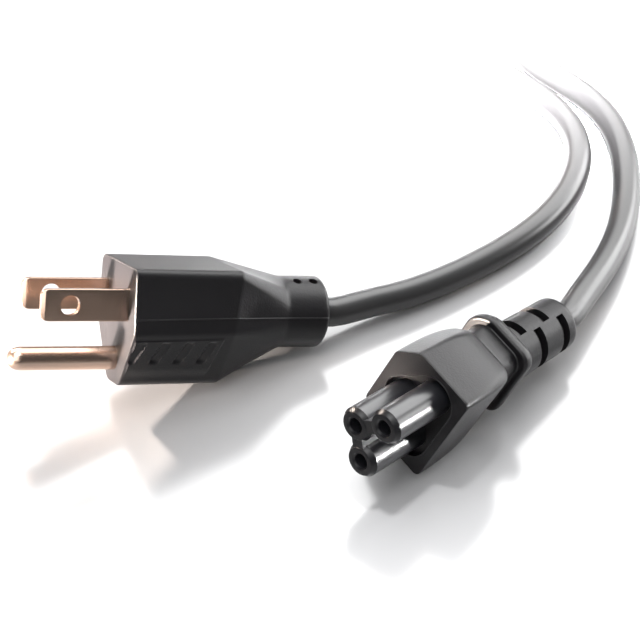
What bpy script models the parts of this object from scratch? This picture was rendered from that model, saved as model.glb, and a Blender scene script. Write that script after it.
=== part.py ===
"""Cloverleaf power cord: a moulded three-pin plug, a round cord and a cloverleaf connector.

All sizes are real sizes in millimetres and are turned into metres when a mesh is made.
Each end is drawn in its own frame first: x runs out of the mating face, z points up from
the mating face, and y follows from the right-hand rule. It is then laid on the floor.
"""
import bpy
import math
import numpy as np
from mathutils import Matrix, Vector

MM = 0.001

# Clearances
PRESS_GAP = 0.12
SURFACE_GAP = 0.3
CUT_MARGIN = 2.0

# Plug blades and ground pin, standard 15 amp sizes
BLADE_HEIGHT = 6.35
BLADE_THICKNESS = 1.52
BLADE_CENTRES = 12.7
BLADE_LENGTH = 17.8
BLADE_HOLE = 4.0
BLADE_HOLE_FROM_FACE = 11.9
BLADE_EDGE = 0.18
GROUND_DIAMETER = 4.75
GROUND_DROP = 11.89
GROUND_LENGTH = 21.8
GROUND_DOME = 3.0
PIN_ROOT = 4.0

# Plug body
PLUG_TOP = 7.6
PLUG_HALF_WIDTH_TOP = 10.4
PLUG_HALF_WIDTH_LOW = 11.3
PLUG_SHOULDER = -5.4
PLUG_BOTTOM = -17.0
PLUG_BOTTOM_RADIUS = 3.6
PLUG_FRONT_EDGE = 0.4
PLUG_DRAFT = 0.2
PLUG_STRAIGHT = 21.0
TOP_STRAIGHT_EXTRA = 1.6
PLUG_TAPER_END = 34.5
PLUG_LENGTH = 43.7
NECK_RADIUS = 7.4
NECK_DROP = 2.5
END_ROUNDING = ((1.1, 0.0), (0.45, 0.25), (0.0, 0.95))

# Cord
CORD_DIAMETER = 6.2
CORD_RADIUS = CORD_DIAMETER / 2
CORD_BORE_DEPTH = 6.0
CORD_ENTRY = 3.0

# Connector hood
HOOD_HALF_WIDTH = 12.1
HOOD_FLAT_SIDE = -6.9
HOOD_CHAMFER_START = 6.9
HOOD_EARTH_SIDE = 11.3
HOOD_EARTH_HALF = 7.5
HOOD_STRAIGHT = 13.0
WAIST_AT = 19.6
FLANGE_FRONT = 22.8
FLANGE_BACK = 26.4
FLANGE_HALF_WIDTH = 9.3
FLANGE_FLAT_SIDE = -5.3
FLANGE_CHAMFER_START = 5.2
FLANGE_EARTH_SIDE = 10.0
FLANGE_EARTH_HALF = 5.6

# Connector strain relief
RELIEF_LENGTH = 45.6
RELIEF_RADIUS_ROOT = 6.1
RELIEF_RADIUS_END = 5.7
RELIEF_RISE = 1.8
RELIEF_CORE = 4.2
SLOT_WIDTH = 2.2
SLOT_FIRST = 29.2
SLOT_PITCH = 3.8
SLOT_ROWS = 4
EARTH_ROW_FROM_DEG = -2.0
FLAT_ROW_FROM_DEG = -6.0

# Cloverleaf
LOBE_DIAMETER = 7.0
LOBE_SPACING = 11.3
EARTH_OFFSET = 4.9
LOBE_LENGTH = 13.8
LOBE_EDGE = 0.5
PIN_HOLE = 2.7
PIN_HOLE_DEPTH = 11.5
WEB_WIDTH = 2.6
RECESS_DEPTH = 1.6
RECESS_EARTH_RADIUS = 4.4
RECESS_SIDE_RADIUS = 5.0

# Coil that holds the length kept tied up
COIL_TURNS = 7
COIL_MIDDLE_RADIUS = 32.5
COIL_WIDE = 4 * CORD_DIAMETER + 0.6
COIL_HIGH = CORD_DIAMETER * 1.87
COIL_CENTRE = (-6.9, 186.0)

# How the two ends lie on the floor: turn about z, nose lift, turn about the own axis
PLUG_POSE_DEG = (199.1, 16.6, 28.6)
PLUG_FACE_AT = (-40.2, -17.17, 22.25)
CONNECTOR_POSE_DEG = (226.8, 9.6, 69.1)
CONNECTOR_FACE_AT = (18.92, -42.99, 14.4)

# Route of the cord between each end and the coil, as points on the floor plan with a height
PLUG_ROUTE = (
    (12.9, 1.6, 4.3), (20.3, 5.0, 3.6), (28.1, 9.9, 3.2), (34.3, 15.0, 3.12), (41.3, 20.2, 3.12),
    (48.9, 28.1, 3.12), (54.3, 36.4, 3.12), (57.9, 44.9, 3.12), (59.7, 53.2, 3.12), (59.2, 61.6, 3.12),
    (56.2, 69.9, 3.12), (51.2, 77.0, 3.12), (45.6, 82.6, 3.12), (40.6, 88.8, 3.12), (37.2, 96.2, 3.12),
    (35.5, 104.4, 3.12), (35.0, 112.0, 3.12), (33.1, 121.7, 3.12), (27.6, 130.0, 3.12), (19.3, 135.5, 3.12),
    (9.6, 137.4, 3.12), (1.0, 137.4, 3.12), (-6.9, 137.4, 3.12),
)
CONNECTOR_ROUTE = (
    (59.9, 10.2, 5.4), (64.1, 19.0, 4.3), (67.5, 30.3, 3.5), (69.4, 43.2, 3.15), (69.9, 54.0, 3.12),
    (68.5, 64.6, 3.12), (64.9, 73.8, 3.12), (59.2, 81.2, 3.12), (53.2, 87.2, 3.12), (48.9, 94.2, 3.12),
    (46.6, 102.0, 3.12), (45.9, 112.0, 3.12), (46.0, 126.0, 3.12), (46.0, 142.0, 3.12), (45.4, 158.0, 3.12),
    (43.6, 172.0, 3.12), (41.6, 184.0, 3.12),
)
ROUTE_STEP = 7.5


def clear_scene():
    for thing in list(bpy.data.objects):
        bpy.data.objects.remove(thing, do_unlink=True)


def material(name, colour, roughness, metallic=0.0):
    mat = bpy.data.materials.new(name)
    mat.use_nodes = True
    shader = mat.node_tree.nodes["Principled BSDF"]
    shader.inputs["Base Color"].default_value = (*colour, 1.0)
    shader.inputs["Roughness"].default_value = roughness
    shader.inputs["Metallic"].default_value = metallic
    mat.diffuse_color = (*colour, 1.0)
    return mat


def mesh_object(name, points, faces, mat, smooth_deg=32.0):
    mesh = bpy.data.meshes.new(name)
    mesh.from_pydata([tuple(float(c) * MM for c in p) for p in points], [], faces)
    mesh.validate()
    thing = bpy.data.objects.new(name, mesh)
    bpy.context.scene.collection.objects.link(thing)
    if mat is not None:
        mesh.materials.append(mat)
    mesh.update()
    mesh.shade_smooth()
    mesh.set_sharp_from_angle(angle=math.radians(smooth_deg))
    return thing


def loft(name, rings, mat, smooth_deg=32.0):
    """Skin closed rings that share a point count, and close both ends with a flat face."""
    count = len(rings[0])
    points = [p for ring in rings for p in ring]
    faces = []
    for row in range(len(rings) - 1):
        a = row * count
        b = a + count
        for i in range(count):
            j = (i + 1) % count
            faces.append((a + i, a + j, b + j, b + i))
    faces.append(tuple(range(count))[::-1])
    last = (len(rings) - 1) * count
    faces.append(tuple(range(last, last + count)))
    thing = mesh_object(name, points, faces, mat, smooth_deg)
    face_out(thing)
    return thing


def face_out(thing):
    """Turn the faces round when the closed mesh has a negative volume."""
    mesh = thing.data
    mesh.calc_loop_triangles()
    volume = 0.0
    for tri in mesh.loop_triangles:
        a, b, c = (mesh.vertices[i].co for i in tri.vertices)
        volume += a.dot(b.cross(c))
    if volume < 0.0:
        mesh.flip_normals()
    mesh.update()


def apply_modifiers(thing):
    graph = bpy.context.evaluated_depsgraph_get()
    evaluated = thing.evaluated_get(graph)
    mesh = bpy.data.meshes.new_from_object(evaluated)
    old = thing.data
    thing.modifiers.clear()
    thing.data = mesh
    mesh.name = thing.name
    bpy.data.meshes.remove(old)


def combine(thing, other, operation):
    """Join or cut with an exact Boolean, and drop the tool afterwards."""
    step = thing.modifiers.new(operation.lower(), "BOOLEAN")
    step.operation = operation
    step.solver = "EXACT"
    step.object = other
    apply_modifiers(thing)
    bpy.data.objects.remove(other, do_unlink=True)


def smooth_by_angle(thing, degrees):
    thing.data.shade_smooth()
    thing.data.set_sharp_from_angle(angle=math.radians(degrees))


def arc(centre, radius, start_deg, end_deg, steps):
    turns = np.radians(np.linspace(start_deg, end_deg, steps + 1))
    return [(centre[0] + radius * math.cos(t), centre[1] + radius * math.sin(t)) for t in turns]


def rounded(corners, radii, steps=4):
    """Closed outline of (y, z) corners with each corner rounded by its own radius."""
    outline = []
    count = len(corners)
    for i, radius in enumerate(radii):
        here = np.array(corners[i], float)
        before = np.array(corners[i - 1], float) - here
        after = np.array(corners[(i + 1) % count], float) - here
        before /= np.linalg.norm(before)
        after /= np.linalg.norm(after)
        half = math.acos(max(-1.0, min(1.0, float(before @ after)))) / 2
        away = radius / math.tan(half)
        middle = before + after
        middle /= np.linalg.norm(middle)
        centre = here + middle * radius / math.sin(half)
        first = here + before * away - centre
        last = here + after * away - centre
        sweep = math.pi - 2 * half
        turn = math.copysign(1.0, first[0] * last[1] - first[1] * last[0])
        for k in range(steps + 1):
            angle = turn * sweep * k / steps
            c, s = math.cos(angle), math.sin(angle)
            outline.append(centre + np.array((first[0] * c - first[1] * s, first[0] * s + first[1] * c)))
    return np.array(outline)


def at_x(x, outline):
    return [(x, float(p[0]), float(p[1])) for p in outline]


def circle(radius, count, centre=(0.0, 0.0), start_deg=0.0):
    turns = np.radians(start_deg) + np.arange(count) * 2 * math.pi / count
    return np.column_stack((centre[0] + radius * np.cos(turns), centre[1] + radius * np.sin(turns)))


def ring_like(outline, centre, radius):
    """Circle whose points lie in the same directions as the points of an outline."""
    away = outline - np.array(centre)
    turns = np.unwrap(np.arctan2(away[:, 1], away[:, 0]))
    even = np.linspace(turns[0], turns[0] + 2 * math.pi * np.sign(turns[-1] - turns[0]), len(turns) + 1)[:-1]
    turns = 0.55 * turns + 0.45 * even
    return np.column_stack((centre[0] + radius * np.cos(turns), centre[1] + radius * np.sin(turns)))


def rod(name, x_start, x_end, radius, centre, mat, count=32):
    ring = circle(radius, count, centre)
    return loft(name, [at_x(x_start, ring), at_x(x_end, ring)], mat)


def bar(name, low, high, mat=None):
    points = [(x, y, z) for x in (low[0], high[0]) for y in (low[1], high[1]) for z in (low[2], high[2])]
    faces = [(0, 1, 3, 2), (4, 6, 7, 5), (0, 4, 5, 1), (2, 3, 7, 6), (0, 2, 6, 4), (1, 5, 7, 3)]
    thing = mesh_object(name, points, faces, mat)
    face_out(thing)
    return thing


def plug_section(top, half_top, half_low, shoulder, bottom, low_half, radii):
    corners = [(half_top, top), (half_low, shoulder), (low_half, bottom)]
    corners += [(-y, z) for y, z in corners[::-1]]
    return rounded(corners, radii, steps=6)


def plug_front_section(shrink=0.0):
    return plug_section(
        PLUG_TOP - shrink, PLUG_HALF_WIDTH_TOP - shrink, PLUG_HALF_WIDTH_LOW - shrink,
        PLUG_SHOULDER, PLUG_BOTTOM + shrink, PLUG_BOTTOM_RADIUS - shrink * 0.4,
        (1.5, 1.8, 2.6, 2.6, 1.8, 1.5))


def plug_back_ring(back):
    """Last section of the straight part, which runs a little further back along its top."""
    ring = []
    for y, z in back:
        share = (z - PLUG_SHOULDER) / (PLUG_TOP - PLUG_SHOULDER)
        share = min(1.0, max(0.0, share))
        ring.append((-PLUG_STRAIGHT - TOP_STRAIGHT_EXTRA * share, float(y), float(z)))
    return ring


def cut_cord_bore(body, length, centre):
    """Open the back end for the cord, which ends inside it."""
    radius = CORD_RADIUS + PRESS_GAP
    bore = rod("bore", -length - CUT_MARGIN, -length + CORD_BORE_DEPTH, radius, centre, None)
    combine(body, bore, "DIFFERENCE")


def make_plug_body(mat):
    back = plug_section(
        PLUG_TOP - PLUG_DRAFT, PLUG_HALF_WIDTH_TOP, PLUG_HALF_WIDTH_LOW, PLUG_SHOULDER + 2 * PLUG_DRAFT,
        PLUG_BOTTOM + PLUG_DRAFT, PLUG_BOTTOM_RADIUS, (1.8, 1.8, 2.6, 2.6, 1.8, 1.8))
    neck_centre = (0.0, -NECK_DROP)
    rings = [at_x(0.0, plug_front_section(PLUG_FRONT_EDGE)), at_x(-PLUG_FRONT_EDGE, plug_front_section())]
    rings.append(plug_back_ring(back))
    rings.append(at_x(-PLUG_TAPER_END, ring_like(back, neck_centre, NECK_RADIUS)))
    for before_end, inset in END_ROUNDING:
        rings.append(at_x(before_end - PLUG_LENGTH, ring_like(back, neck_centre, NECK_RADIUS - inset)))
    body = loft("plug_body", rings, mat)
    root = -PIN_ROOT - SURFACE_GAP
    half_height = BLADE_HEIGHT / 2 + PRESS_GAP
    half_thick = BLADE_THICKNESS / 2 + PRESS_GAP
    for side in (-1, 1):
        y = side * BLADE_CENTRES / 2
        low = (root, y - half_thick, -half_height)
        high = (CUT_MARGIN, y + half_thick, half_height)
        combine(body, bar("pocket", low, high), "DIFFERENCE")
    pin_radius = GROUND_DIAMETER / 2 + PRESS_GAP
    combine(body, rod("pocket", root, CUT_MARGIN, pin_radius, (0.0, -GROUND_DROP), None), "DIFFERENCE")
    cut_cord_bore(body, PLUG_LENGTH, neck_centre)
    smooth_by_angle(body, 32.0)
    return body


def make_blade(name, side, mat):
    """Flat blade with a round hole and a tip that thins and narrows."""
    y = side * BLADE_CENTRES / 2
    stages = ((-PIN_ROOT, 1.0, 1.0), (BLADE_LENGTH - 2.2, 1.0, 1.0), (BLADE_LENGTH - 1.2, 0.93, 0.96),
              (BLADE_LENGTH - 0.5, 0.83, 0.72), (BLADE_LENGTH, 0.68, 0.45))
    rings = []
    for x, tall, thick in stages:
        half_t = BLADE_THICKNESS / 2 * thick
        half_h = BLADE_HEIGHT / 2 * tall
        corners = [(half_t, half_h), (half_t, -half_h), (-half_t, -half_h), (-half_t, half_h)]
        outline = rounded(corners, (BLADE_EDGE,) * 4, steps=1)
        rings.append([(x, y + float(p[0]), float(p[1])) for p in outline])
    blade = loft(name, rings, mat, 25.0)
    hole = circle(BLADE_HOLE / 2, 32, (BLADE_HOLE_FROM_FACE, 0.0))
    drill_rings = [[(x, y + end, z) for x, z in hole] for end in (-CUT_MARGIN, CUT_MARGIN)]
    combine(blade, loft("drill", drill_rings, None), "DIFFERENCE")
    smooth_by_angle(blade, 25.0)
    return blade


def make_ground_pin(mat):
    radius = GROUND_DIAMETER / 2
    dome_from = GROUND_LENGTH - GROUND_DOME
    stages = [(-PIN_ROOT, radius), (dome_from, radius)]
    for angle in (25, 45, 62, 76):
        turn = math.radians(angle)
        stages.append((dome_from + GROUND_DOME * math.sin(turn), radius * math.cos(turn) ** 0.8))
    rings = [at_x(x, circle(r, 32, (0.0, -GROUND_DROP))) for x, r in stages]
    return loft("ground_pin", rings, mat)


def hood_section(half, flat, chamfer, earth, earth_half, radii):
    corners = [(half, flat), (half, chamfer), (earth_half, earth)]
    corners += [(-y, z) for y, z in corners[::-1]]
    r_flat, r_chamfer, r_earth = radii
    return rounded(corners, (r_flat, r_chamfer, r_earth, r_earth, r_chamfer, r_flat), steps=5)


def lobe_centres():
    half = LOBE_SPACING / 2
    return ((0.0, EARTH_OFFSET), (half, 0.0), (-half, 0.0))


def hull_of_circles(circles, steps=14):
    """Outline of the smallest convex shape round some circles given as (y, z, radius)."""
    cloud = []
    for y, z, radius in circles:
        cloud.extend(arc((y, z), radius, 0.0, 360.0, steps * 3)[:-1])
    cloud = sorted(set((round(p[0], 5), round(p[1], 5)) for p in cloud))

    def half_hull(points):
        line = []
        for p in points:
            while len(line) > 1:
                ax, ay = line[-1][0] - line[-2][0], line[-1][1] - line[-2][1]
                bx, by = p[0] - line[-2][0], p[1] - line[-2][1]
                if ax * by - ay * bx > 1e-9:
                    break
                line.pop()
            line.append(p)
        return line

    return np.array(half_hull(cloud)[:-1] + half_hull(cloud[::-1])[:-1])


def make_slot_cutter(away, start_deg, end_deg):
    """Part of a flat ring that opens the strain relief from outside down to its core."""
    centre = (0.0, RELIEF_RISE)
    inner = arc(centre, RELIEF_CORE, start_deg, end_deg, 20)
    outer = arc(centre, RELIEF_RADIUS_ROOT + CUT_MARGIN, end_deg, start_deg, 20)
    outline = inner + outer
    return loft("slot", [at_x(-away, outline), at_x(-away - SLOT_WIDTH, outline)], None)


def slot_rows():
    """Distance and angles of each slot: rows on the earth side and rows on the flat side in turn."""
    rows = []
    for i in range(SLOT_ROWS):
        away = SLOT_FIRST + i * SLOT_PITCH
        if i % 2 == 0:
            rows.append((away, EARTH_ROW_FROM_DEG, 180.0 - EARTH_ROW_FROM_DEG))
        else:
            rows.append((away, 180.0 - FLAT_ROW_FROM_DEG, 360.0 + FLAT_ROW_FROM_DEG))
    return rows


def hood_between(share, inset):
    """Section between the hood's front, share 0, and its rim at the back, share 1, drawn in by an inset."""
    front = (HOOD_HALF_WIDTH, HOOD_FLAT_SIDE, HOOD_CHAMFER_START, HOOD_EARTH_SIDE, HOOD_EARTH_HALF)
    rim = (FLANGE_HALF_WIDTH, FLANGE_FLAT_SIDE, FLANGE_CHAMFER_START, FLANGE_EARTH_SIDE, FLANGE_EARTH_HALF)
    half, flat, chamfer, earth, earth_half = (a + (b - a) * share for a, b in zip(front, rim))
    radii = (1.3 + 1.7 * share, 1.6 + 2.0 * share, 1.8 + 1.8 * share)
    slanted = inset * 0.4
    return hood_section(
        half - inset, flat + inset, chamfer - slanted, earth - inset, earth_half - slanted, radii)


def make_connector_body(mat):
    # Distance behind the face, share from hood to rim, and inset of each section
    stages = (
        (0.0, 0.0, 0.3), (0.3, 0.0, 0.0), (6.0, 0.03, 0.1), (HOOD_STRAIGHT, 0.14, 0.3),
        (HOOD_STRAIGHT + 2.2, 0.34, 0.9), (HOOD_STRAIGHT + 4.2, 0.62, 1.6), (WAIST_AT, 0.9, 1.8),
        (WAIST_AT + 1.8, 0.98, 1.3), (FLANGE_FRONT, 1.0, 0.3), (FLANGE_FRONT + 0.5, 1.0, 0.0),
        (FLANGE_BACK - 0.5, 1.0, 0.0), (FLANGE_BACK, 1.0, 0.5))
    relief_centre = (0.0, RELIEF_RISE)
    rings = [at_x(-away, hood_between(share, inset)) for away, share, inset in stages]
    like = hood_between(1.0, 0.5)
    rings.append(at_x(-FLANGE_BACK - 0.4, ring_like(like, relief_centre, RELIEF_RADIUS_ROOT)))
    for before_end, inset in END_ROUNDING:
        end_ring = ring_like(like, relief_centre, RELIEF_RADIUS_END - inset)
        rings.append(at_x(before_end - RELIEF_LENGTH, end_ring))
    body = loft("connector_body", rings, mat)
    for away, start_deg, end_deg in slot_rows():
        combine(body, make_slot_cutter(away, start_deg, end_deg), "DIFFERENCE")
    earth, one, two = lobe_centres()
    circles = ((*earth, RECESS_EARTH_RADIUS), (*one, RECESS_SIDE_RADIUS), (*two, RECESS_SIDE_RADIUS))
    mouth = hull_of_circles(circles)
    combine(body, loft("mouth", [at_x(-RECESS_DEPTH, mouth), at_x(CUT_MARGIN, mouth)], None), "DIFFERENCE")
    cut_cord_bore(body, RELIEF_LENGTH, relief_centre)
    smooth_by_angle(body, 32.0)
    return body


def make_connector_insert(mat):
    """Three joined tubes in a cloverleaf with a blind hole for each pin of the inlet."""
    radius = LOBE_DIAMETER / 2
    root = -RECESS_DEPTH + SURFACE_GAP * 0.5
    earth, one, two = lobe_centres()
    insert = None
    for centre in (earth, one, two):
        stages = ((root, radius), (LOBE_LENGTH - LOBE_EDGE, radius), (LOBE_LENGTH, radius - LOBE_EDGE))
        lobe = loft("connector_insert", [at_x(x, circle(r, 40, centre)) for x, r in stages], mat)
        if insert is None:
            insert = lobe
        else:
            combine(insert, lobe, "UNION")
    for side in (one, two):
        along = np.array(side) - np.array(earth)
        along /= np.linalg.norm(along)
        across = np.array((-along[1], along[0])) * WEB_WIDTH / 2
        start = np.array(earth) + along * radius * 0.6
        stop = np.array(side) - along * radius * 0.6
        outline = [start + across, stop + across, stop - across, start - across]
        web = loft("web", [at_x(root + 0.05, outline), at_x(LOBE_LENGTH - 0.25, outline)], mat)
        combine(insert, web, "UNION")
    for centre in (earth, one, two):
        bottom = LOBE_LENGTH - PIN_HOLE_DEPTH
        hole = rod("hole", bottom, LOBE_LENGTH + CUT_MARGIN, PIN_HOLE / 2, centre, None, 24)
        combine(insert, hole, "DIFFERENCE")
    insert.name = "connector_insert"
    smooth_by_angle(insert, 32.0)
    return insert


def turn_matrix(pose_deg):
    yaw, lift, roll = (math.radians(a) for a in pose_deg)
    return Matrix.Rotation(yaw, 3, "Z") @ Matrix.Rotation(-lift, 3, "Y") @ Matrix.Rotation(roll, 3, "X")


def lay_down(things, pose_deg, face_at):
    """Turn one end into its lying pose and lower it until it touches the floor."""
    turn = turn_matrix(pose_deg)
    shift = Vector(face_at) * MM
    lowest = 1.0
    for thing in things:
        for vertex in thing.data.vertices:
            vertex.co = turn @ vertex.co + shift
            lowest = min(lowest, vertex.co.z)
    for thing in things:
        for vertex in thing.data.vertices:
            vertex.co.z -= lowest
        thing.data.update()
    return turn, Vector(face_at) - Vector((0.0, 0.0, lowest / MM))


def smooth_line(points, step):
    """Points at an even spacing along a smooth curve that passes through the given points."""
    pts = np.array(points, float)
    pts = np.vstack((2 * pts[0] - pts[1], pts, 2 * pts[-1] - pts[-2]))
    fine = []
    for i in range(1, len(pts) - 2):
        p0, p1, p2, p3 = pts[i - 1], pts[i], pts[i + 1], pts[i + 2]
        for t in np.linspace(0.0, 1.0, 24, endpoint=False):
            square = (2 * p0 - 5 * p1 + 4 * p2 - p3) * t ** 2
            cube = (3 * p1 - p0 - 3 * p2 + p3) * t ** 3
            fine.append(0.5 * (2 * p1 + (p2 - p0) * t + square + cube))
    fine.append(pts[-2])
    fine = np.array(fine)
    lengths = np.concatenate(([0.0], np.cumsum(np.linalg.norm(np.diff(fine, axis=0), axis=1))))
    count = max(2, int(round(lengths[-1] / step)) + 1)
    wanted = np.linspace(0.0, lengths[-1], count)
    return np.column_stack([np.interp(wanted, lengths, fine[:, k]) for k in range(3)])


def line_length(line):
    return float(np.linalg.norm(np.diff(line, axis=0), axis=1).sum())


def route_from(turn, face_at, exit_away, rise, route):
    """Start of the cord inside its bore, a short straight run out of it, then the given route."""
    start = []
    for away in (exit_away - CORD_ENTRY, exit_away, exit_away + 5.0):
        spot = turn @ Vector((-away, 0.0, rise)) + face_at
        start.append((spot.x, spot.y, spot.z))
    return smooth_line(start + list(route), ROUTE_STEP)


def make_tube(name, line, mat):
    curve = bpy.data.curves.new(name, "CURVE")
    curve.dimensions = "3D"
    curve.bevel_depth = CORD_RADIUS * MM
    curve.bevel_resolution = 4
    curve.use_fill_caps = True
    spline = curve.splines.new("POLY")
    spline.points.add(len(line) - 1)
    for point, where in zip(spline.points, line):
        point.co = (where[0] * MM, where[1] * MM, where[2] * MM, 1.0)
    curve.materials.append(mat)
    thing = bpy.data.objects.new(name, curve)
    bpy.context.scene.collection.objects.link(thing)
    return thing


def make_coil(mat):
    """The tied-up length as one turned ring as wide and high as the layers of cord."""
    half = COIL_WIDE / 2
    low = CORD_RADIUS * 0.9
    high = CORD_RADIUS * 1.2
    corners = [(half, COIL_HIGH), (half, 0.0), (-half, 0.0), (-half, COIL_HIGH)]
    section = rounded(corners, (high, low, low, high))
    around = 72
    points = []
    for k in range(around):
        turn = 2 * math.pi * k / around
        for across, up in section:
            x = COIL_CENTRE[0] + (COIL_MIDDLE_RADIUS + across) * math.cos(turn)
            y = COIL_CENTRE[1] + (COIL_MIDDLE_RADIUS + across) * math.sin(turn)
            points.append((x, y, up))
    count = len(section)
    faces = []
    for k in range(around):
        a = k * count
        b = ((k + 1) % around) * count
        for i in range(count):
            j = (i + 1) % count
            faces.append((a + i, a + j, b + j, b + i))
    coil = mesh_object("cord_coil", points, faces, mat)
    face_out(coil)
    return coil


def middle_of(things):
    corners = [v.co for thing in things for v in thing.data.vertices]
    low = [min(c[k] for c in corners) for k in range(3)]
    high = [max(c[k] for c in corners) for k in range(3)]
    return Vector(((low[0] + high[0]) / 2, (low[1] + high[1]) / 2, low[2]))


def move_all(things, shift):
    for thing in things:
        if thing.type == "MESH":
            for vertex in thing.data.vertices:
                vertex.co -= shift
            thing.data.update()
        else:
            for point in thing.data.splines[0].points:
                point.co = (point.co.x - shift.x, point.co.y - shift.y, point.co.z - shift.z, 1.0)


def main():
    clear_scene()
    black = material("black_pvc", (0.025, 0.025, 0.028), 0.42)
    insert_black = material("insert_black", (0.02, 0.02, 0.022), 0.25)
    cord_black = material("cord_pvc", (0.03, 0.03, 0.033), 0.36)
    brass = material("plated_brass", (0.55, 0.42, 0.30), 0.25, 1.0)

    plug = [make_plug_body(black), make_ground_pin(brass)]
    for name, side in (("neutral_blade", 1), ("line_blade", -1)):
        plug.append(make_blade(name, side, brass))
    plug_turn, plug_face = lay_down(plug, PLUG_POSE_DEG, PLUG_FACE_AT)
    connector = [make_connector_body(black), make_connector_insert(insert_black)]
    connector_turn, connector_face = lay_down(connector, CONNECTOR_POSE_DEG, CONNECTOR_FACE_AT)

    plug_line = route_from(plug_turn, plug_face, PLUG_LENGTH, -NECK_DROP, PLUG_ROUTE)
    connector_line = route_from(
        connector_turn, connector_face, RELIEF_LENGTH, RELIEF_RISE, CONNECTOR_ROUTE)
    coiled = COIL_TURNS * 2 * math.pi * COIL_MIDDLE_RADIUS
    print("cord length in mm", round(line_length(plug_line) + line_length(connector_line) + coiled))
    cords = [make_coil(cord_black)]
    cords.append(make_tube("cord_plug_side", plug_line, cord_black))
    cords.append(make_tube("cord_connector_side", connector_line, cord_black))

    shift = middle_of(plug + connector)
    move_all(plug + connector + cords, shift)
    print("moved by mm", [round(c / MM, 3) for c in shift])
    print("plug face at", [round(c, 3) for c in plug_face])
    print("connector face at", [round(c, 3) for c in connector_face])


main()
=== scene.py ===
import bmesh
import bpy
import math
import numpy as np
from mathutils import Matrix, Vector


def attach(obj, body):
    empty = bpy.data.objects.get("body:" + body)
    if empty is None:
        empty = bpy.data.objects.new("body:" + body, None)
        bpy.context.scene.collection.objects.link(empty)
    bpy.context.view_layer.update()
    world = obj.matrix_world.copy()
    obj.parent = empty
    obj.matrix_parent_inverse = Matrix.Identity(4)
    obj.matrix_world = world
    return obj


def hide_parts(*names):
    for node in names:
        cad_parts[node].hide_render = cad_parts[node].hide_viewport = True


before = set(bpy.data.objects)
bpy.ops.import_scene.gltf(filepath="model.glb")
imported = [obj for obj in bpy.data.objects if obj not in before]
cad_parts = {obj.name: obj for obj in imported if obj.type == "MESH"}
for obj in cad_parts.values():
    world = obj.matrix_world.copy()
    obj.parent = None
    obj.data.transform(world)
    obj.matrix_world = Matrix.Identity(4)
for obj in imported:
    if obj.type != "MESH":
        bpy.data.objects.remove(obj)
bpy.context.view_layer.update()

# Sizes are in millimetres, unless a comment says metres. In an end's own frame its nose points along +x
MM = 0.001
TINY = 1e-9

# Where the two mating faces lie, and how each end is turned: about z, nose lift, about its own axis
PLUG_POSE_DEG = (199.1, 16.6, 28.6)
PLUG_FACE = (-35.721, 9.824, 21.444)
CONNECTOR_POSE_DEG = (226.8, 9.6, 69.1)
CONNECTOR_FACE = (23.399, -15.996, 14.476)

# The row's origin in the floor plan that the cord's points are given in
ROUTE_ORIGIN = (-4.479, -26.994)

# Camera: height above the floor as an angle, distance to the point it looks at, and lens
CAMERA_ELEVATION_DEG = 42.57
CAMERA_DISTANCE = 423.0
CAMERA_LENS = 112.28
CAMERA_SENSOR = 36.0
CAMERA_TARGET = (4.498, 26.994, 0.0)

# Cord: how far it starts inside an end, its straight run out of it, and the spacing of its points
CORD_DIAMETER = 6.2
CORD_RADIUS = CORD_DIAMETER / 2
CORD_ENTRY = 3.0
STRAIGHT_OUT = 5.0
CORD_STEP = 2.2
FLOOR_GAP = 0.02
PLUG_ROUTE = (
    (12.9, 1.6, 4.3), (20.3, 5.0, 3.6), (28.1, 9.9, 3.2), (34.3, 15.0, 3.12), (41.3, 20.2, 3.12),
    (48.9, 28.1, 3.12), (54.3, 36.4, 3.12), (57.9, 44.9, 3.12), (59.7, 53.2, 3.12), (59.2, 61.6, 3.12),
    (56.2, 69.9, 3.12), (51.2, 77.0, 3.12), (45.6, 82.6, 3.12), (40.6, 88.8, 3.12), (37.2, 96.2, 3.12),
    (35.5, 104.4, 3.12), (35.0, 112.0, 3.12), (33.1, 121.7, 3.12), (27.6, 130.0, 3.12), (19.3, 135.5, 3.12),
    (9.6, 137.4, 3.12), (1.0, 137.4, 3.12), (-6.9, 137.4, 3.12),
)
CONNECTOR_ROUTE = (
    (59.9, 10.2, 5.4), (64.1, 19.0, 4.3), (67.5, 30.3, 3.5), (69.4, 43.2, 3.15), (69.9, 54.0, 3.12),
    (68.5, 64.6, 3.12), (64.9, 73.8, 3.12), (59.2, 81.2, 3.12), (53.2, 87.2, 3.12), (48.9, 94.2, 3.12),
    (46.6, 102.0, 3.12), (45.9, 112.0, 3.12), (46.0, 126.0, 3.12), (46.0, 142.0, 3.12), (45.4, 158.0, 3.12),
    (43.6, 172.0, 3.12), (41.6, 184.0, 3.12),
)

# Smoothing of the cord's free runs, which fades in over these distances from the coil's middle and an end
CALM_ROUNDS = 44
CALM_WEIGHT = 0.25
CALM_FROM_COIL = (54.0, 80.0)
CALM_FROM_END = (8.0, 28.0)

# Coil
COIL_CENTRE = (-6.9, 186.0)
COIL_SPOT = (COIL_CENTRE[0] - ROUTE_ORIGIN[0], COIL_CENTRE[1] - ROUTE_ORIGIN[1])
COIL_MIDDLE_RADIUS = 32.5
COIL_PITCH = CORD_DIAMETER + 0.1
COIL_TURNS = 6.75
FLOOR_ROWS = (-1.5, -0.5, 0.5, 1.5)
UPPER_ROWS = (-1, 0, 1)
STACK_RISE = CORD_DIAMETER * 0.87
BESIDE_GAP = 0.45
COIL_OUTER = COIL_MIDDLE_RADIUS + FLOOR_ROWS[-1] * COIL_PITCH
COIL_BESIDE = COIL_OUTER + CORD_DIAMETER + BESIDE_GAP

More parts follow.
